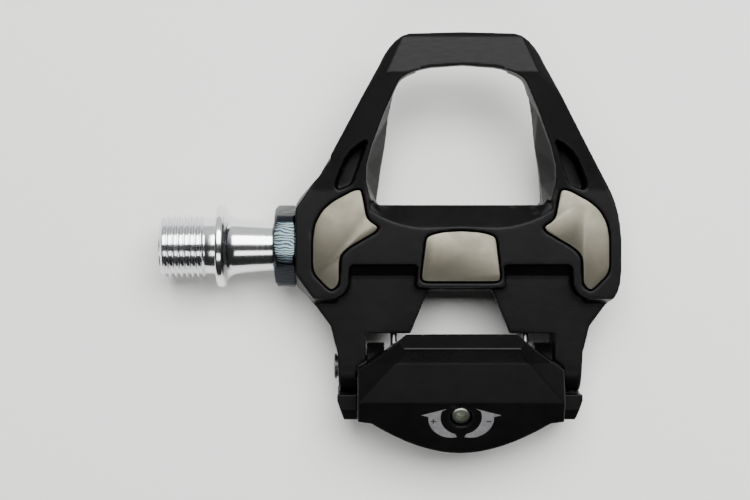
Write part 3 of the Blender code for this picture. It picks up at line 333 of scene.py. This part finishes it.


# streakDark and streakPale colour the painted sheen on the flat that faces up
oxideLook = {
    "colour": (0.022, 0.025, 0.030), "streakDark": (0.010, 0.018, 0.023), "streakPale": (0.115, 0.145, 0.155),
    "roughness": (0.24, 0.40), "streaksPerMetre": 520, "waver": 0.004,
}


def oxideMaterial(name, look):
    # black oxide over milled steel; the flat that lies uppermost gets pale blue and silver streaks, a painted
    # sheen from the light above, while the streak marks in roughness and bump are the real milling
    material = newMaterial(name, look["colour"], 0.3, 1.0)
    place = addNode(material, "ShaderNodeTexCoord")
    bend = addNode(material, "ShaderNodeTexNoise")
    bend.inputs["Scale"].default_value = 160
    shift = addNode(material, "ShaderNodeVectorMath", operation="MULTIPLY")
    shift.inputs[1].default_value = (look["waver"],) * 3
    total = addNode(material, "ShaderNodeVectorMath", operation="ADD")
    join(material, place.outputs["Object"], bend.inputs["Vector"])
    join(material, bend.outputs["Color"], shift.inputs[0])
    join(material, place.outputs["Object"], total.inputs[0])
    join(material, shift.outputs["Vector"], total.inputs[1])
    streak = addNode(material, "ShaderNodeTexWave", wave_type="BANDS", bands_direction="Y")
    streak.inputs["Scale"].default_value = look["streaksPerMetre"]
    streak.inputs["Distortion"].default_value = 3.0
    streak.inputs["Detail"].default_value = 3.0
    streak.inputs["Detail Scale"].default_value = 1.4
    join(material, total.outputs["Vector"], streak.inputs["Vector"])
    marks = streak.outputs["Fac"]
    facing = addNode(material, "ShaderNodeNewGeometry")
    split = addNode(material, "ShaderNodeSeparateXYZ")
    join(material, facing.outputs["True Normal"], split.inputs["Vector"])
    # painted sheen: only faces pointing up take the streaked pale colour
    sheenOnUpperFlat = ramp(material, split.outputs["Z"], [(0.90, 0.0), (0.97, 1.0)])
    sheenStreaks = ramp(material, marks, [(0.30, look["streakDark"]), (0.72, look["streakPale"])])
    setInput(material, "Base Color", mixColours(material, sheenOnUpperFlat, look["colour"], sheenStreaks))
    low, high = look["roughness"]
    setInput(material, "Roughness", ramp(material, marks, [(0.2, low), (0.8, high)]))
    bump(material, [(marks, 0.25, 0.02)])
    return material


def plainMetal(name, colour, roughness, grainStrength=0.3):
    material = newMaterial(name, colour, roughness, 1.0)
    grain = noise(material, 3600, 4, 0.6)
    cloud = noise(material, 300, 4, 0.6)
    darker = tuple(c * 0.6 for c in colour)
    base = mixColours(material, ramp(material, cloud, [(0.35, 0.6), (0.65, 0.0)]), colour, darker)
    setInput(material, "Base Color", base)
    dull = ramp(material, cloud, [(0.3, roughness * 1.25), (0.7, roughness * 0.85)])
    setInput(material, "Roughness", dull)
    bump(material, [(grain, grainStrength, 0.01)])
    return material


def rubberMaterial(name):
    material = newMaterial(name, (0.012, 0.012, 0.012), 0.7)
    grain = noise(material, 4200, 3, 0.6)
    setInput(material, "Roughness", ramp(material, grain, [(0.3, 0.6), (0.7, 0.85)]))
    bump(material, [(grain, 0.5, 0.02)])
    return material


composite = compositeMaterial("blackComposite", compositeLook)
# painted shade: the claw gets a copy of the same composite darkened to 0.9
shadedClawComposite = compositeMaterial("shadedClawComposite", compositeLook, shade=0.9, rubbedFrom=-25.9)
blastedSteel = blastedSteelMaterial("blastedSteel", steelLook)
chrome = chromeMaterial("polishedChrome", (0.80, 0.81, 0.81), 0.13, 0.12)
threadChrome = chromeMaterial("threadChrome", (0.78, 0.79, 0.80), 0.13, 0.3)
oxide = oxideMaterial("blackOxide", oxideLook)
zinc = plainMetal("greenZinc", (0.46, 0.49, 0.42), 0.30)
bearingSteel = plainMetal("bearingSteel", (0.62, 0.63, 0.65), 0.14, 0.1)
springSteel = plainMetal("springSteel", (0.20, 0.20, 0.21), 0.34)
blackSteel = plainMetal("blackSteel", (0.05, 0.052, 0.058), 0.36)
alloy = plainMetal("machinedAlloy", (0.55, 0.56, 0.58), 0.30)
sealRubber = rubberMaterial("sealRubber")
print("materials made")


spindle = {
    "threadEnd": -67.8, "reliefEnd": -57.5, "shoulder": -55.0,
    "crest": 7.144, "root": 6.44, "pitch": 1.27, "threadSteps": 64, "chamfer": 0.75, "fade": 1.1,
    "flange": 9.35, "neck": 6.12, "keyFlats": 8.0, "keyDepth": 8.0, "keyMouth": 5.4,
}


def makeThread():
    s = spindle
    length = s["reliefEnd"] - s["threadEnd"]
    turns = math.ceil(length / s["pitch"]) + 2
    start = s["threadEnd"] - s["pitch"]
    crest, root = s["crest"], s["root"]
    oneTurn = [(0, root), (0.12, root), (0.50, crest - 0.04), (0.57, crest),
               (0.71, crest), (0.78, crest - 0.04), (1.15, root), (s["pitch"], root)]
    bm = bmesh.new()
    verts = [bm.verts.new(((start + x) * mm, 0, axleZ + r * mm)) for x, r in oneTurn]
    edges = [bm.edges.new(pair) for pair in zip(verts, verts[1:])]
    steps = s["threadSteps"]
    bmesh.ops.spin(
        bm, geom=verts + edges, cent=(0, 0, axleZ), axis=(1, 0, 0),
        dvec=(s["pitch"] / steps * mm, 0, 0), angle=2 * math.pi * turns, steps=steps * turns,
    )
    bmesh.ops.remove_doubles(bm, verts=bm.verts, dist=0.003 * mm)
    for x, side in ((s["threadEnd"], False), (s["reliefEnd"], True)):
        geometry = bm.verts[:] + bm.edges[:] + bm.faces[:]
        bmesh.ops.bisect_plane(
            bm, geom=geometry, dist=0.0005 * mm, plane_co=(x * mm, 0, 0), plane_no=(1, 0, 0),
            clear_outer=side, clear_inner=not side,
        )
    # chamfered start, and crests that fade out before the relief
    for v in bm.verts:
        x = v.co.x / mm
        chamfer = crest - s["chamfer"] + (x - s["threadEnd"])
        limit = min(crest, chamfer, root + (s["reliefEnd"] - x) * s["fade"])
        reach = Vector((v.co.y, v.co.z - axleZ))
        if reach.length > limit * mm:
            reach = reach.normalized() * limit * mm
            v.co.y, v.co.z = reach.x, reach.y + axleZ
    bmesh.ops.remove_doubles(bm, verts=bm.verts, dist=0.003 * mm)
    bmesh.ops.holes_fill(bm, edges=[e for e in bm.edges if e.is_boundary], sides=0)
    bmesh.ops.recalc_face_normals(bm, faces=bm.faces)
    piece = linkPiece("spindleThread", bm, threadChrome, 25)
    key = bar(onAxle(s["threadEnd"] - 1), onAxle(s["threadEnd"] + s["keyDepth"]),
              s["keyFlats"] / math.sqrt(3), sides=6)
    mouth = bar(onAxle(s["threadEnd"] - 0.5), onAxle(s["threadEnd"] + 0.9), s["keyMouth"],
                sides=48, taper=0.74)
    cutWith(piece, key)
    cutWith(piece, mouth)
    sharpen(piece.data, 28)
    return piece


def curvePoints(first, lean, last, steps):
    # from first to last, leaning towards the point between them
    points = []
    for i in range(steps + 1):
        t = i / steps
        points.append(tuple(
            (1 - t) ** 2 * a + 2 * t * (1 - t) * b + t ** 2 * c for a, b, c in zip(first, lean, last)))
    return points


def makeSpindle():
    s = spindle
    shoulder, flange, neck = s["shoulder"], s["flange"], s["neck"]
    rim = [(shoulder, s["root"]), (shoulder, flange - 0.5)]
    rim += curvePoints(
        (shoulder + 0.02, flange - 0.35), (shoulder + 0.15, flange), (shoulder + 0.7, flange), 5)
    flare = curvePoints(
        (shoulder + 1.1, flange), (shoulder + 2.0, flange - 0.1), (shoulder + 2.2, flange - 1.2), 6)
    flare += curvePoints(
        (shoulder + 2.4, flange - 1.7), (shoulder + 3.0, neck + 0.35), (shoulder + 6.1, neck), 14)
    taper = curvePoints((shoulder + 6.1, neck), (-46.0, 5.85), (-41.9, 5.66), 8)[1:]
    profile = [(s["reliefEnd"] - 0.3, 0), (s["reliefEnd"] - 0.3, s["root"] - 0.15),
               (s["reliefEnd"] + 0.05, s["root"]), *rim, *flare, *taper,
               (-41.3, 5.4), (-38.2, 5.35), (-36.9, 4.9), (-36.3, 4.0), (6.6, 4.0), (6.6, 3.0),
               (23.0, 3.0), (23.4, 2.6), (23.4, 0)]
    settle(linkPiece("spindleBody", lathe(profile, 128), chrome, 40), "spindle", "axle")
    settle(makeThread(), "spindle")
    print("spindle made")


makeSpindle()


lockBolt = {
    "flats": 17.0, "corner": 9.35, "head": (-41.8, -37.2), "turn": 10, "shank": 7.5, "shankEnd": -21.9,
    "edge": 0.12, "mouth": 6.3, "neck": (-34.4, 5.7), "bore": 6.0,
}
sealRing = [
    (-41.05, 5.5), (-41.2, 5.8), (-41.1, 6.1), (-40.8, 6.2), (-38.7, 6.2), (-38.7, 5.55),
    (-39.6, 5.5), (-39.9, 5.62), (-40.5, 5.62),
]


def makeLockBolt():
    b = lockBolt
    x0, x1 = b["head"]
    flat, corner = b["flats"] / 2, b["corner"]
    # one flat leans from straight up towards the toe
    hexagon = bar(onAxle(x0), onAxle(x1), b["flats"] / math.sqrt(3), sides=6, turn=-30 - b["turn"])
    middle = (x0 + x1) / 2 * mm
    for v in hexagon.verts:         # its ends lie exactly on the chamfer's, for a clean cut
        v.co.x = (x0 if v.co.x < middle else x1) * mm
    head = linkPiece("lockBolt", hexagon, oxide)
    # turned chamfer that takes the hexagon's corners off at both ends
    rounder = lathe([
        (x0, 0), (x0, flat - 0.1), (x0 + 0.6, corner - 0.1), (x0 + 0.8, corner), (x1 - 0.35, corner),
        (x1, flat + 0.5), (x1, 0)], 96)
    cutWith(head, rounder, "INTERSECT")
    shank = bar(onAxle(x1 - 0.5), onAxle(b["shankEnd"]), b["shank"], sides=64)
    cutWith(head, shank, "UNION")
    neckEnd, neck = b["neck"]
    mouth, bore, end = b["mouth"], b["bore"], b["shankEnd"] + 1
    hollow = lathe([
        (x0 - 1, 0), (x0 - 1, mouth + 0.3), (x0 + 0.3, mouth), (x0 + 3.5, mouth), (x0 + 3.5, neck),
        (neckEnd, neck), (neckEnd, bore), (end, bore), (end, 0)], 96)
    cutWith(head, hollow)
    edge = head.modifiers.new("edge", "BEVEL")
    edge.width = b["edge"] * mm
    edge.segments = 2
    edge.limit_method = "ANGLE"
    edge.angle_limit = math.radians(35)
    bakeModifiers(head, 35)
    settle(head, "platform", "lock_bolt")
    seal = linkPiece("axleSeal", lathe(sealRing, 96, closed=True), sealRubber)
    settle(seal, "platform", "axle_seal")
    print("lock bolt made")


makeLockBolt()


platform = {"voxel": 0.34, "rounds": 3, "keep": 0.55}


def makePlatform():
    body = mould(copyOfNode("platformBody", "pedal_body", composite), platform)
    settle(body, "platform", "pedal_body")
    print("platform made", len(body.data.polygons))


makePlatform()


plates = {
    "wingOutline": [
        (24.0, 12.3), (22.4, 12.5), (22.0, 11.4), (21.1, 6.4), (20.2, 5.3), (18.5, 4.3), (18.9, 3.3),
        (24.9, -0.2), (26.6, -1.7), (27.1, -3.3), (27.2, -8.5), (28.6, -9.8), (29.6, -9.4),
        (32.5, -6.4), (33.0, -4.7), (33.0, 1.4), (32.5, 4.8), (30.9, 7.8), (28.6, 9.8),
    ],
    "centreOutline": [
        (0, 3.3), (4.4, 3.0), (7.0, 2.3), (7.8, 1.5), (8.8, -7.2), (8.2, -7.9),
        (-8.2, -7.9), (-8.8, -7.2), (-7.8, 1.5), (-7.0, 2.3), (-4.4, 3.0),
    ],
    "corners": (0.6, 0.3, 0.15), "edge": 0.18, "thickness": 1.2,
}


def soften(points, reach):
    # cuts each corner of a closed outline back by reach, or by a quarter of a short side
    cut = []
    for here, ahead in zip(points, points[1:] + points[:1]):
        here, ahead = Vector(here), Vector(ahead)
        share = min(0.25, reach / (ahead - here).length)
        cut += [tuple(here.lerp(ahead, share)), tuple(ahead.lerp(here, share))]
    return cut


def makePlate(name, outline, node):
    for reach in plates["corners"]:
        outline = soften(outline, reach)
    bm = slab(outline, -plates["thickness"], 0)
    bm.normal_update()
    rim = [e for e in bm.edges if all(v.co.z > -0.01 * mm for v in e.verts)]
    bmesh.ops.bevel(
        bm, geom=rim, offset=plates["edge"] * mm, affect="EDGES", segments=3,
        profile=0.5, material=-1, clamp_overlap=True,
    )
    tidy(bm)
    settle(linkPiece(name, bm, blastedSteel, 50), "platform", node)


def makePlates():
    for side, word in ((-1, "left"), (1, "right")):
        outline = [(side * x, y) for x, y in plates["wingOutline"]]
        makePlate(f"wingPlate_{word}", outline, f"contact_plate_{word}")
    makePlate("centrePlate", plates["centreOutline"], "contact_plate_centre")
    print("contact plates made")


makePlates()


claw = {"voxel": 0.24, "rounds": 3, "keep": 0.5}


def makeClaw():
    body = mould(copyOfNode("clawBody", "rear_claw", shadedClawComposite), claw)
    settle(body, "claw", "rear_claw")
    print("claw made", len(body.data.polygons))


makeClaw()


# the claw's rear face slopes down from its top edge, and the bolt sits square in it
apron = {"slope": 28.5, "top": (-34.8, 2.0), "boltDown": 3.8}
apronSlope = math.radians(apron["slope"])
boltMouth = Vector((
    0, apron["top"][0] - apron["boltDown"] * math.cos(apronSlope),
    apron["top"][1] - apron["boltDown"] * math.sin(apronSlope))) * mm
boltAxis = Vector((0, math.sin(apronSlope), -math.cos(apronSlope)))
onApron = Matrix.Translation(boltMouth) @ Matrix((
    (1, 0, 0), (0, math.cos(apronSlope), -math.sin(apronSlope)),
    (0, math.sin(apronSlope), math.cos(apronSlope)))).to_4x4()

arrows = {
    "inner": 4.6, "innerFrom": 22, "innerTo": -74,
    "outer": 5.2, "outerCentre": (2.1, -0.2), "outerFrom": 4, "outerTo": -104,
    "tip": (3.3, 2.3), "barb": (8.9, 0.6), "raise": (-0.10, 0.04),
    "signAt": (6.2, -1.0), "signHalf": 0.6, "signStroke": 0.15, "signRaise": (-0.05, 0.065),
}


def inkMaterial(name, colour, roughness):
    material = newMaterial(name, colour, roughness)
    cloud = noise(material, 900, 5, 0.7)
    worn = tuple(c * 0.6 for c in colour)
    setInput(material, "Base Color", mixColours(
        material, ramp(material, cloud, [(0.35, 0.7), (0.55, 0.0)]), colour, worn))
    bump(material, [(cloud, 0.2, 0.02)])
    return material


ink = inkMaterial("greyInk", (0.16, 0.16, 0.165), 0.5)
darkInk = inkMaterial("darkInk", (0.008, 0.008, 0.009), 0.6)


def liftFromApron(bm, low, high):
    # gives a flat mark its thickness, from low to high in mm off the slope
    pulled = bmesh.ops.extrude_face_region(bm, geom=bm.faces[:])
    top = [v for v in pulled["geom"] if isinstance(v, bmesh.types.BMVert)]
    bmesh.ops.translate(bm, verts=top, vec=(0, 0, (high - low) * mm))
    bmesh.ops.translate(bm, verts=bm.verts, vec=(0, 0, low * mm))
    bmesh.ops.recalc_face_normals(bm, faces=bm.faces)
    bmesh.ops.transform(bm, verts=bm.verts, matrix=onApron)
    return bm


def arc(centre, radius, start, end, steps=14):
    # points round a centre, the angles in degrees
    angles = [math.radians(start + (end - start) * i / steps) for i in range(steps + 1)]
    return [(centre[0] + radius * math.cos(a), centre[1] + radius * math.sin(a)) for a in angles]


def makeArrow(side):
    # a crescent that ends in an arrow's head, on the apron round the bolt
    a = arrows
    outline = [a["tip"], a["barb"]]
    outline += arc(a["outerCentre"], a["outer"], a["outerFrom"], a["outerTo"])
    outline += arc((0, 0), a["inner"], a["innerTo"], a["innerFrom"])
    bm = bmesh.new()
    bm.faces.new([bm.verts.new((side * x * mm, y * mm, 0)) for x, y in outline])
    bmesh.ops.triangulate(bm, faces=bm.faces)
    return liftFromApron(bm, *a["raise"])


def makeSign(side):
    # a minus at the right arrow and a plus at the left one
    a = arrows
    bm = bmesh.new()
    long, thin = a["signHalf"], a["signStroke"]
    x0, y0 = side * a["signAt"][0], a["signAt"][1]
    if side > 0:
        outline = [(-long, -thin), (long, -thin), (long, thin), (-long, thin)]
    else:
        outline = [
            (-long, -thin), (-thin, -thin), (-thin, -long), (thin, -long), (thin, -thin), (long, -thin),
            (long, thin), (thin, thin), (thin, long), (-thin, long), (-thin, thin), (-long, thin),
        ]
    bm.faces.new([bm.verts.new(((x0 + x) * mm, (y0 + y) * mm, 0)) for x, y in outline])
    return liftFromApron(bm, *a["signRaise"])


def makeMarks():
    for side, word in ((-1, "tighter"), (1, "looser")):
        settle(linkPiece(f"arrow_{word}", makeArrow(side), ink), "claw")
        settle(linkPiece(f"sign_{word}", makeSign(side), darkInk), "claw")
    print("marks made")


makeMarks()


tensionBolt = {
    "recess": 0.6, "head": 2.1, "headLength": 3.0, "shank": 2.0, "length": 11.1, "key": 2.5,
    "pitch": 0.7, "groove": 0.33,
}


def makeTensionBolt():
    t = tensionBolt
    top, head, shank = t["recess"], t["head"], t["shank"]
    neck = top + t["headLength"]
    end = neck + t["length"]
    profile = [(top, 0), (top, head - 0.35), (top + 0.1, head - 0.1), (top + 0.35, head),
               (neck - 0.1, head), (neck, head - 0.1), (neck, shank)]
    # thread grooves down the shank
    x, floor = neck + 1.2, shank - t["groove"]
    while x < end - 0.8:
        profile += [(x, shank), (x + 0.30, floor), (x + 0.40, floor), (x + 0.68, shank)]
        x += t["pitch"]
    profile += [(end - 0.4, shank), (end, shank - 0.4), (end, 0)]
    piece = linkPiece("tensionBolt", lathe(profile, 48, centre=(0, 0, 0)), zinc)
    cutWith(piece, bar((top - 1, 0, 0), (top + 1.8, 0, 0), t["key"] / math.sqrt(3), sides=6))
    along = boltAxis.to_track_quat("X", "Z").to_matrix().to_4x4()
    piece.data.transform(Matrix.Translation(boltMouth) @ along)
    sharpen(piece.data, 35)
    settle(piece, "tension_bolt", "tension_bolt")
    print("tension bolt made")


makeTensionBolt()


pin = {"radius": 2.4, "head": 2.85, "from": -28.4, "headEnd": -27.9, "to": 27.3}


def makePin():
    p = pin
    profile = [(p["from"], 0), (p["from"], p["head"] - 0.25), (p["from"] + 0.2, p["head"]),
               (p["headEnd"], p["head"]), (p["headEnd"], p["radius"]), (p["to"] - 0.4, p["radius"]),
               (p["to"], p["radius"] - 0.4), (p["to"], 0)]
    piece = linkPiece("clawPin", lathe(profile, 64, centre=(0, pinY, pinZ)), blackSteel)
    settle(piece, "platform", "claw_pin")


spring = {
    "wire": 0.75, "coil": 3.45, "turns": 5.5, "pitch": 1.8, "inner": 5.0, "perTurn": 28,
    "frontLeg": [(-18.1, -7.85), (-22.5, -7.2), (-25.4, -6.72)],
    "rearLeg": [(-30.0, -13.75), (-34.6, -14.35)],
}


def makeSpring(side, word):
    s = spring
    count = int(s["turns"] * s["perTurn"])
    frontX = s["inner"] + s["pitch"] * s["turns"]
    route = [(frontX, *point) for point in s["frontLeg"]]
    for i in range(count + 1):
        angle = math.pi / 2 + 2 * math.pi * i / s["perTurn"]
        x = frontX - s["pitch"] * i / s["perTurn"]
        route.append((x, pinY / mm + s["coil"] * math.cos(angle), pinZ / mm + s["coil"] * math.sin(angle)))
    route += [(s["inner"], *point) for point in s["rearLeg"]]
    curve = bpy.data.curves.new(f"spring_{word}", "CURVE")
    curve.dimensions = "3D"
    curve.bevel_depth = s["wire"] * mm
    curve.bevel_resolution = 4
    curve.use_fill_caps = True
    line = curve.splines.new("POLY")
    line.points.add(len(route) - 1)
    for point, (x, y, z) in zip(line.points, route):
        point.co = (side * x * mm, y * mm, z * mm, 1)
    holder = bpy.data.objects.new(curve.name, curve)
    bpy.context.scene.collection.objects.link(holder)
    bpy.context.view_layer.update()
    graph = bpy.context.evaluated_depsgraph_get()
    bm = bmesh.new()
    bm.from_mesh(bpy.data.meshes.new_from_object(holder.evaluated_get(graph)))
    bpy.data.objects.remove(holder)
    piece = linkPiece(f"clawSpring_{word}", tidy(bm), springSteel)
    settle(piece, "platform", f"spring_{word}")


ball = {"radius": 1.19, "around": 24, "over": 14}


def makeBalls():
    for row in ("inner", "outer"):
        for number in range(1, 13):
            node = f"ball_{row}_{number:02d}"
            low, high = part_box(node)
            centre = (Vector(low) + Vector(high)) / 2
            bm = bmesh.new()
            bmesh.ops.create_uvsphere(
                bm, u_segments=ball["around"], v_segments=ball["over"], radius=ball["radius"] * mm)
            bmesh.ops.translate(bm, verts=bm.verts, vec=centre)
            piece = linkPiece(f"bearingBall_{row}_{number:02d}", bm, bearingSteel, 60)
            settle(piece, f"{row}_ball_row", node)


makePin()
for side, word in ((-1, "left"), (1, "right")):
    makeSpring(side, word)
makeBalls()

# nodes that keep their own mesh and only get a finish
keptNodes = {
    "inner_race": bearingSteel, "cone": bearingSteel, "cone_lock_nut": bearingSteel,
    "needle_bearing_shell": bearingSteel, "needle_roller_cage": bearingSteel, "ball_cup": bearingSteel,
    "bearing_tube": alloy, "plate_screw_left": zinc, "plate_screw_right": zinc, "tension_nut_plate": zinc,
}
for node, material in keptNodes.items():
    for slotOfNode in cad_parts[node].material_slots:
        slotOfNode.material = material
print("pin, springs and bearings made")


stage = {
    "floorZ": -19.7, "floorHalf": 1.5, "paper": (0.92, 0.92, 0.895),
    "room": (0.025, 0.80), "roomColour": (0.96, 0.98, 1.0), "wallFrom": 0.0, "wallTo": 0.8,
    "topBox": {"at": (0.12, 0.36, 0.72), "size": (0.80, 0.54), "tilt": -24, "power": 15.0},
    "rearBox": {"at": (0.0, -0.40, 0.66), "size": (0.60, 0.24), "tilt": 30, "power": 1.7},
}
cameraLook = {"at": (-19.15, -0.91, 350.0), "lens": 75.6}      # looks straight down


def makeFloor():
    bm = bmesh.new()
    bmesh.ops.create_grid(bm, x_segments=1, y_segments=1, size=stage["floorHalf"])
    bmesh.ops.translate(bm, verts=bm.verts, vec=(0, 0, stage["floorZ"] * mm))
    paper = newMaterial("palePaper", stage["paper"], 0.75)
    fibre = noise(paper, 900, 4, 0.6)
    bump(paper, [(fibre, 0.1, 0.05)])
    linkPiece("floor", bm, paper)


def makeSoftbox(name, look):
    light = bpy.data.lights.new(name, "AREA")
    light.shape = "RECTANGLE"
    light.size, light.size_y = look["size"]
    light.energy = look["power"]
    lamp = bpy.data.objects.new(name, light)
    lamp.location = look["at"]
    lamp.rotation_euler.x = math.radians(look["tilt"])
    bpy.context.scene.collection.objects.link(lamp)


def makeRoom():
    # a dim room with a paler wall beyond the toe
    world = bpy.data.worlds.new("dimRoom")
    world.use_nodes = True
    nodes, links = world.node_tree.nodes, world.node_tree.links
    place = nodes.new("ShaderNodeTexCoord")
    split = nodes.new("ShaderNodeSeparateXYZ")
    wall = nodes.new("ShaderNodeMapRange")
    wall.inputs["From Min"].default_value = stage["wallFrom"]
    wall.inputs["From Max"].default_value = stage["wallTo"]
    wall.inputs["To Min"].default_value, wall.inputs["To Max"].default_value = stage["room"]
    links.new(place.outputs["Generated"], split.inputs["Vector"])
    links.new(split.outputs["Y"], wall.inputs["Value"])
    links.new(wall.outputs["Result"], nodes["Background"].inputs["Strength"])
    nodes["Background"].inputs["Color"].default_value = (*stage["roomColour"], 1)
    bpy.context.scene.world = world


def makeCamera():
    lens = bpy.data.cameras.new("camera")
    lens.lens = cameraLook["lens"]
    lens.clip_start = 0.01
    eye = bpy.data.objects.new("camera", lens)
    eye.location = Vector(cameraLook["at"]) * mm
    bpy.context.scene.collection.objects.link(eye)
    bpy.context.scene.camera = eye


makeFloor()
makeSoftbox("topBox", stage["topBox"])
makeSoftbox("rearBox", stage["rearBox"])
makeRoom()
makeCamera()
print("floor, light and camera made")
